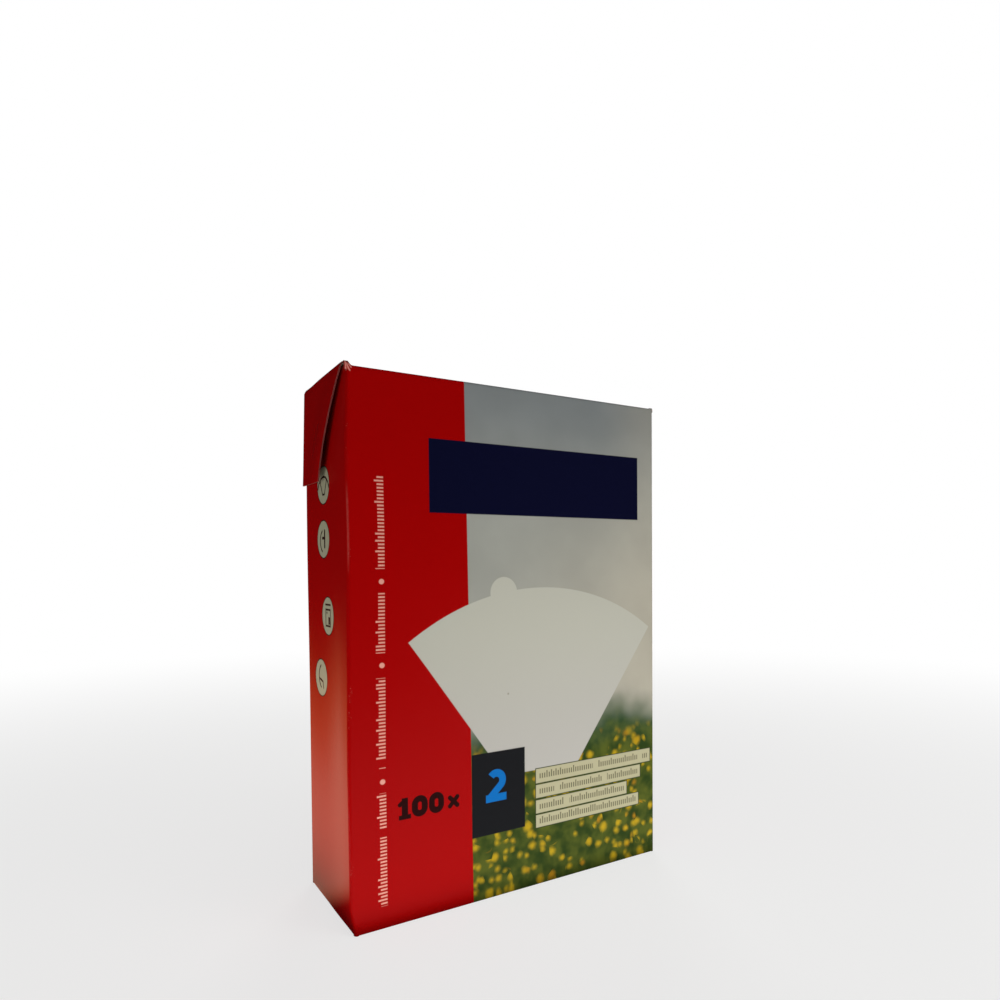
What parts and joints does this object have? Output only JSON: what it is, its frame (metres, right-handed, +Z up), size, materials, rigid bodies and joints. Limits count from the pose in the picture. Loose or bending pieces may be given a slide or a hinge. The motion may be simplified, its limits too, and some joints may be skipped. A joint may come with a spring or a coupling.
{
  "type": "coffee filter carton",
  "caption": "Upright printed folding carton with a hinged lid that closes over its back and sides, holding a stack of fan-shaped paper coffee filters.",
  "frame": {"origin": "on the floor, under the middle of the carton's tube", "axes": "+Z up along the carton's height, -Y out of the printed front panel, +X to the right as the front is read"},
  "size_m": [0.1208, 0.0437, 0.1681],
  "materials": {
    "printed_board": "white-lined chipboard, printed and gloss varnished outside, bare grey inside",
    "printed_lid_board": "the same board, plain red print under gloss varnish",
    "filter_paper": "bleached crepe filter paper, matt, with crimped seams"
  },
  "bodies": {
    "carton": {"carton": "printed_board", "filters": "filter_paper"},
    "lid": {"lid": "printed_lid_board"}
  },
  "joints": [
    {"name": "lid_hinge", "type": "hinge", "parent": "carton", "child": "lid", "pos_m": [0, -0.0206, 0.1681], "axis": [1, 0, 0], "range_deg": [0, 180]}
  ]
}
